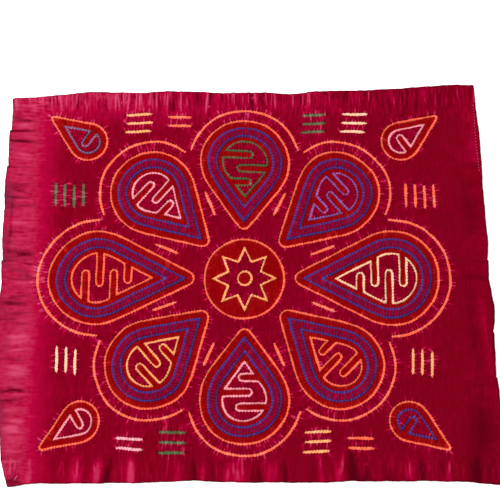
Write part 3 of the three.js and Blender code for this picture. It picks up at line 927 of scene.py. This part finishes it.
def painted_light_of_relief(node, points, small):
    """How high each point lies on a ridge, for painted highlight and shade, less painted edge shade. The
    upper face, with its puckers, is first.
    """
    ridge = ridges.at(points) + painted_crease_light(points)
    ridge[: len(small)] += small
    if node in WHOLE_CLOTHS:
        ridge -= painted_edge_shade(points, outlines_of[node][0])
    return ridge


def joined(top, top_z, top_faces, under, under_z, under_faces, on_edge):
    """Sews an underside to an upper face along the edge points that they share."""
    edge_of_top = {tuple(p): i for i, p in enumerate(np.round(top, DIGITS).tolist())}
    place = np.zeros(len(under), int)
    added = []
    for i, p in enumerate(np.round(under, DIGITS).tolist()):
        if on_edge[i] and tuple(p) in edge_of_top:
            place[i] = edge_of_top[tuple(p)]
        else:
            place[i] = len(top) + len(added)
            added.append(i)
    lower = np.column_stack([under[added], under_z[added]])
    points = np.vstack([np.column_stack([top, top_z]), lower])
    return points, np.vstack([top_faces, place[under_faces][:, ::-1]])


# Stitches


def stitch_kind(node):
    if node.endswith("_band_overlay"):
        return "band"
    return "top" if layer_of(node) == "upper" else "rim"


def thread_colour(node):
    """Each piece is sewn down in its own colour, but for the crimson bands, which are sewn in blue."""
    return "blue_cotton" if stitch_kind(node) == "band" else slot_of[node]


def stitch_paths(outline, layer, kind, random):
    """Where thread passes over a turned edge: points on the cloth, over the fold, and beyond it."""
    at = outline[::POINTS_PER_STITCH]
    normal = normals_of(outline)[::POINTS_PER_STITCH]
    along = np.column_stack([normal[:, 1], -normal[:, 0]])
    sizes = STITCHES[kind].items()
    reach = {key: size * random.uniform(*STITCH_VARIES, (len(at), 1)) for key, size in sizes}
    on_cloth = at + normal * reach["on_cloth"] + along * reach["slant"]
    beyond = at - normal * reach["beyond"] - along * reach["slant"]
    over = at + normal * OVER_EDGE
    below = LAYER_TOP[LAYER_BELOW[layer]]
    level = LAYER_TOP[layer] + LIP
    heights = [level - 0.5 * THREAD_RADIUS, level + reach["bulge"][:, 0], below + 0.5 * THREAD_RADIUS]
    path = []
    for points, z in zip((on_cloth, over, beyond), heights):
        path.append(np.column_stack([points, z + stands(points)]))
    return np.stack(path, 1)


def thread_mesh(paths):
    """One joined mesh of short round threads, each along three points and closed to a tip at both ends."""
    before, middle, after = paths[:, 0], paths[:, 1], paths[:, 2]
    first = unit(middle - before)
    last = unit(after - middle)
    rings = []
    for centre, along, radius in (
        (before, first, THREAD_TAPER),
        (middle, unit(first + last), 1.0),
        (after, last, THREAD_TAPER),
    ):
        side = unit(np.cross(along, np.array([0, 0, 1.0])) + NOT_ZERO)
        up = np.cross(side, along)
        for k in range(THREAD_SIDES):
            angle = 2 * math.pi * k / THREAD_SIDES
            offset = math.cos(angle) * side + math.sin(angle) * up
            rings.append(centre + THREAD_RADIUS * radius * offset)
    tips = [before - first * THREAD_RADIUS, after + last * THREAD_RADIUS]
    points = np.stack(rings + tips, 1)
    faces = thread_faces()
    start = np.arange(len(paths))[:, None, None] * points.shape[1]
    return points.reshape(-1, 3), (faces[None] + start).reshape(-1, 3)


def thread_faces():
    faces = []
    tip = 3 * THREAD_SIDES
    for k in range(THREAD_SIDES):
        n = (k + 1) % THREAD_SIDES
        for ring in (0, THREAD_SIDES):
            a, b = ring + k, ring + n
            c, d = a + THREAD_SIDES, b + THREAD_SIDES
            faces += [(a, b, d), (a, d, c)]
        faces += [(k, tip, n), (2 * THREAD_SIDES + k, 2 * THREAD_SIDES + n, tip + 1)]
    return np.array(faces)


def seams_shown(node):
    """The sewn edges of a piece that the upper layer doesn't hide."""
    upper = layer_of(node) == "upper"
    return [seam for seam in sewn_edges(node) if upper or not hidden(seam).all()]


def tack_paths(start, end, count, length):
    """A straight row of short stitches that lie on the top cloth."""
    start, end = np.array(start), np.array(end)
    along = (end - start) / np.linalg.norm(end - start)
    middle = start + (np.arange(count)[:, None] + 0.5) / count * (end - start)
    path = []
    for step in (-0.5, 0.0, 0.5):
        points = middle + along * step * length
        z = LAYER_TOP["upper"] + stands(points) + THREAD_RADIUS * (1 - abs(step))
        path.append(np.column_stack([points, z]))
    return np.stack(path, 1)


def stitches(slot, nodes):
    """All the stitches in one colour of thread, as one piece."""
    paths = [tack_paths(**tack) for tack in TACKS if slot == TACK_COLOUR]
    for node in nodes:
        random = seeded("stitches " + node)
        layer, kind = layer_of(node), stitch_kind(node)
        paths += [stitch_paths(outline, layer, kind, random) for outline in seams_shown(node)]
    points, faces = thread_mesh(np.vstack(paths))
    piece = mesh_object(slot.replace("_cotton", "_stitches"), points, faces, threads[slot])
    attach(piece, "root")
    return piece


# Materials


def linear(colour):
    """A colour as seen, turned into amounts of light."""

    def channel(value):
        share = value / 255
        return share / 12.92 if share <= 0.04045 else ((share + 0.055) / 1.055) ** 2.4

    return (*(channel(value) for value in colour), 1.0)


def node_in(tree, kind, **settings):
    made = tree.nodes.new(kind)
    for name, value in settings.items():
        setattr(made, name, value)
    return made


def maths(tree, operation, first, second):
    made = node_in(tree, "ShaderNodeMath", operation=operation)
    for socket, value in zip(made.inputs, (first, second)):
        if isinstance(value, (int, float)):
            socket.default_value = value
        else:
            tree.links.new(value, socket)
    return made.outputs[0]


def noise_in(tree, place, scale, detail):
    made = node_in(tree, "ShaderNodeTexNoise")
    made.inputs["Scale"].default_value = scale
    made.inputs["Detail"].default_value = detail
    tree.links.new(place, made.inputs["Vector"])
    return made.outputs["Fac"]


def new_group(name, takes, gives):
    """An empty node group, with what it takes and gives by name."""
    group = bpy.data.node_groups.new(name, "ShaderNodeTree")
    for way, sockets in (("INPUT", takes), ("OUTPUT", gives)):
        for socket in sockets:
            group.interface.new_socket(socket, in_out=way, socket_type="NodeSocketFloat")
    given = node_in(group, "NodeGroupInput").outputs
    result = node_in(group, "NodeGroupOutput").inputs
    return group, given, result


def place_in(tree):
    """The place on the panel, and how far across and up it lies."""
    place = node_in(tree, "ShaderNodeTexCoord").outputs["Object"]
    parts = node_in(tree, "ShaderNodeSeparateXYZ")
    tree.links.new(place, parts.inputs[0])
    return place, parts.outputs["X"], parts.outputs["Y"]


def weave_group():
    """Plain weave: the height of crossing threads, and a shade in which thread and dye vary, with painted
    light on raised crossings and painted shade in the gaps.
    """
    group, given, result = new_group("plain weave", ["Threads per metre"], ["Height", "Shade"])
    place, *ways = place_in(group)
    slub = noise_in(group, place, SLUB_SCALE, SLUB_DETAIL)
    turns = maths(group, "MULTIPLY", given["Threads per metre"], math.pi)
    drift = maths(group, "MULTIPLY", slub, SLUB_DRIFT)
    waves = []
    for way in ways:
        phase = maths(group, "ADD", maths(group, "MULTIPLY", way, turns), drift)
        waves.append(maths(group, "SINE", phase, 0))
    crossing = maths(group, "MULTIPLY", *waves)
    for name, share in (("Height", CROSSING_HEIGHT), ("Shade", WEAVE_SHADE)):
        value = maths(group, "ADD", maths(group, "MULTIPLY", crossing, share), slub)
        group.links.new(value, result[name])
    return group


def remapped(tree, value, low, high):
    """Zero at low, one at high, eased between them."""
    made = node_in(tree, "ShaderNodeMapRange", interpolation_type="SMOOTHSTEP")
    made.inputs["From Min"].default_value = low
    made.inputs["From Max"].default_value = high
    tree.links.new(value, made.inputs["Value"])
    return made.outputs[0]


def crinkles(tree, place, stretch):
    """Fine long wrinkles: about -0.5 in their troughs and 0.5 on their crests."""
    mapping = node_in(tree, "ShaderNodeMapping")
    mapping.inputs["Scale"].default_value = stretch
    tree.links.new(place, mapping.inputs["Vector"])
    return maths(tree, "SUBTRACT", noise_in(tree, mapping.outputs[0], CRINKLE_SCALE, SOFT_DETAIL), 0.5)


def margin_crinkles(tree, place, left):
    """Fine wrinkles that run out across the margins: level in the left one, and upright elsewhere."""
    upright = crinkles(tree, place, (1, CRINKLE_STRETCH, 1))
    level = crinkles(tree, place, (CRINKLE_STRETCH, 1, 1))
    turned = maths(tree, "MULTIPLY", maths(tree, "SUBTRACT", level, upright), left)
    return maths(tree, "ADD", upright, turned)


def fading_and_painted_light_group():
    """Faded patches; paler margins, partly painted light; painted highlight on ridges and wrinkle crests;
    painted shade in troughs, wrinkle hollows and at the left edge.
    """
    takes = ("Painted ridge light", "Patches", "Side", "Painted crinkle light", "Shade")
    group, given, result = new_group("fading_and_painted_light", takes, ("Faded and painted light", "Painted shade", "Left edge painted shade", "Crinkle"))
    place, across, up = place_in(group)
    noise = noise_in(group, place, PATCH_SCALE, SOFT_DETAIL)
    ridge = node_in(group, "ShaderNodeAttribute", attribute_name="ridge").outputs["Fac"]
    left = remapped(group, across, *FADED_AND_LIT_LEFT)
    top = remapped(group, up, *FADED_AND_LIT_TOP)
    margins = maths(group, "MAXIMUM", left, top)
    side = maths(group, "MULTIPLY", remapped(group, across, *FADED_AND_LIT_SIDE), margins)
    crinkle = margin_crinkles(group, place, left)
    # Painted highlight on the wrinkles' crests and painted shade in their hollows, strongest in the top
    # margin
    strong = maths(group, "ADD", maths(group, "MULTIPLY", top, 1 - CRINKLE_LEAST), CRINKLE_LEAST)
    painted_crest = maths(group, "MULTIPLY", maths(group, "MULTIPLY", crinkle, strong), given["Painted crinkle light"])
    faded_and_highlit = maths(group, "MULTIPLY", remapped(group, ridge, *PAINTED_RIDGE_HIGHLIGHT), given["Painted ridge light"])
    for amount, name in ((remapped(group, noise, *PATCH_RANGE), "Patches"), (side, "Side")):
        faded_and_highlit = maths(group, "ADD", faded_and_highlit, maths(group, "MULTIPLY", amount, given[name]))
    weave_tone_and_shading = maths(group, "MULTIPLY", maths(group, "SUBTRACT", given["Shade"], 0.5), TONE_AND_SHADING_SHARE)
    left_edge_shade = remapped(group, across, *LEFT_EDGE_PAINTED_SHADE_PLACES)
    made = {
        "Faded and painted light": maths(group, "ADD", faded_and_highlit, maths(group, "ADD", weave_tone_and_shading, painted_crest)),
        "Painted shade": maths(group, "SUBTRACT", remapped(group, ridge, *PAINTED_TROUGH_DARKENING), painted_crest),
        "Left edge painted shade": maths(group, "MULTIPLY", left_edge_shade, remapped(group, noise, *LEFT_EDGE_PAINTED_SHADE_RANGE)),
        "Crinkle": crinkle,
    }
    for name, value in made.items():
        group.links.new(value, result[name])
    return group


def cotton_material(name, colours, threads_per_metre, fading_and_painted_light):
    material = bpy.data.materials.new(name)
    material.use_nodes = True
    tree = material.node_tree
    shader = tree.nodes["Principled BSDF"]
    shader.inputs["Specular IOR Level"].default_value = GLOSS
    weave = node_in(tree, "ShaderNodeGroup", node_tree=weave_nodes)
    weave.inputs["Threads per metre"].default_value = threads_per_metre
    faded_and_highlit = node_in(tree, "ShaderNodeGroup", node_tree=fading_and_painted_light_nodes)
    for socket, value in fading_and_painted_light.items():
        faded_and_highlit.inputs[socket].default_value = value
    tree.links.new(weave.outputs["Shade"], faded_and_highlit.inputs["Shade"])
    # The colour: faded and painted paler, then darkened by painted shade in troughs and along the left
    # edge
    light = fading_and_painted_light_colours(tree, faded_and_highlit.outputs["Faded and painted light"], colours)
    dark = mixed_with(tree, light, faded_and_highlit.outputs["Painted shade"], [PAINTED_SHADE_KEEPS * part for part in colours["cloth"]])
    tree.links.new(mixed_with(tree, dark, faded_and_highlit.outputs["Left edge painted shade"], LEFT_EDGE_PAINTED_SHADE), shader.inputs["Base Color"])
    rough = node_in(tree, "ShaderNodeMapRange")
    rough.inputs["To Min"].default_value, rough.inputs["To Max"].default_value = ROUGHNESS
    tree.links.new(weave.outputs["Shade"], rough.inputs["Value"])
    tree.links.new(rough.outputs[0], shader.inputs["Roughness"])
    wrinkled = bumped(tree, faded_and_highlit.outputs["Crinkle"], CRINKLE_DEPTH)
    woven = bumped(tree, weave.outputs["Height"], WEAVE_DEPTH)
    tree.links.new(wrinkled.outputs[0], woven.inputs["Normal"])
    tree.links.new(woven.outputs[0], shader.inputs["Normal"])
    return material


def fading_and_painted_light_colours(tree, share, colours):
    """The colour that a cloth has as it fades and is painted paler more and more, through a painted sheen
    where it has one.
    """
    ramp = node_in(tree, "ShaderNodeValToRGB")
    stops = ramp.color_ramp.elements
    stops[0].color = linear(colours["cloth"])
    stops[1].color = linear(colours["faded_and_highlit"])
    if "painted_sheen" in colours:
        stops.new(PAINTED_SHEEN_AT).color = linear(colours["painted_sheen"])
    tree.links.new(share, ramp.inputs["Fac"])
    return ramp.outputs["Color"]


def mixed_with(tree, first, share, colour):
    """A colour with a share of a second, plain one."""
    mix = node_in(tree, "ShaderNodeMix", data_type="RGBA")
    mix.inputs[SECOND_COLOUR].default_value = linear(colour)
    tree.links.new(first, mix.inputs[FIRST_COLOUR])
    tree.links.new(share, mix.inputs[0])
    return mix.outputs[MIXED_COLOUR]


def bumped(tree, height, distance):
    bump = node_in(tree, "ShaderNodeBump")
    bump.inputs["Strength"].default_value = BUMP_STRENGTH
    bump.inputs["Distance"].default_value = distance
    tree.links.new(height, bump.inputs["Height"])
    return bump


# Stage


def make_floor():
    bpy.ops.mesh.primitive_plane_add(size=FLOOR_SIZE, location=(0, 0, -FLOOR_BELOW))
    floor = bpy.context.object
    floor.name = "floor"
    material = bpy.data.materials.new("pale floor")
    material.use_nodes = True
    shader = material.node_tree.nodes["Principled BSDF"]
    shader.inputs["Base Color"].default_value = FLOOR_COLOUR
    shader.inputs["Roughness"].default_value = FLOOR_ROUGHNESS
    shader.inputs["Emission Color"].default_value = GLOW_COLOUR
    shader.inputs["Emission Strength"].default_value = FLOOR_GLOW
    floor.data.materials.append(material)


def make_light(name, place, size, power):
    light = bpy.data.lights.new(name, "AREA")
    light.size = size
    light.energy = power
    lamp = bpy.data.objects.new(name, light)
    lamp.location = place
    lamp.rotation_euler = Vector(place).to_track_quat("Z", "Y").to_euler()
    bpy.context.scene.collection.objects.link(lamp)


def make_world():
    world = bpy.data.worlds.new("soft room")
    world.use_nodes = True
    sky = world.node_tree.nodes["Background"]
    sky.inputs["Color"].default_value = ROOM_COLOUR
    sky.inputs["Strength"].default_value = ROOM_LIGHT
    bpy.context.scene.world = world


def make_camera():
    camera = bpy.data.cameras.new("camera")
    camera.sensor_width = CAMERA_SENSOR
    camera.lens = CAMERA_LENS
    camera.shift_x, camera.shift_y = CAMERA_SHIFT
    camera.clip_start = NEAREST_SEEN
    holder = bpy.data.objects.new("camera", camera)
    target = Vector(CAMERA_TARGET)
    back = Vector((0, -math.sin(CAMERA_TILT), math.cos(CAMERA_TILT)))
    holder.location = target + back * CAMERA_DISTANCE
    holder.rotation_euler = (CAMERA_TILT, 0, 0)
    bpy.context.scene.collection.objects.link(holder)
    bpy.context.scene.camera = holder


# Making the panel

make_camera()
weave_nodes = weave_group()
fading_and_painted_light_nodes = fading_and_painted_light_group()
cotton = {}
threads = {}
for slot, colours in COTTONS.items():
    fading_and_painted_light = {**FADING_AND_PAINTED_LIGHT, "Side": SIDE_FADING_AND_PAINTED_LIGHT.get(slot, FADING_AND_PAINTED_LIGHT["Side"])}
    cotton[slot] = cotton_material(slot, colours, WEAVE, fading_and_painted_light)
    thread = {"cloth": colours["thread"], "faded_and_highlit": colours["faded_and_highlit"]}
    threads[slot] = cotton_material(slot.replace("cotton", "thread"), thread, TWIST, fading_and_painted_light)

strays = make_strays()
outlines_of = {node: cut_outlines(node) for node in slot_of}
upper_edges = [edge for node in slot_of if layer_of(node) == "upper" for edge in outlines_of[node]]
upper_tree = tree_of(upper_edges)
covered = make_cover()
lift = make_lift()
broad_creases = make_broad_creases()
uneven = make_unevenness()
ridges = make_ridges()
sheets = {node: cloth_piece(node, outlines) for node, outlines in outlines_of.items()}
sewn_down = [node for node in slot_of if not node.startswith(("base", "scrap"))]
sewing = [
    stitches(slot, [node for node in sewn_down if thread_colour(node) == slot])
    for slot in COTTONS
    if slot != "scarlet_cotton"
]

make_floor()
make_world()
make_light("window", **WINDOW)
bpy.context.scene.view_settings.view_transform = "Standard"
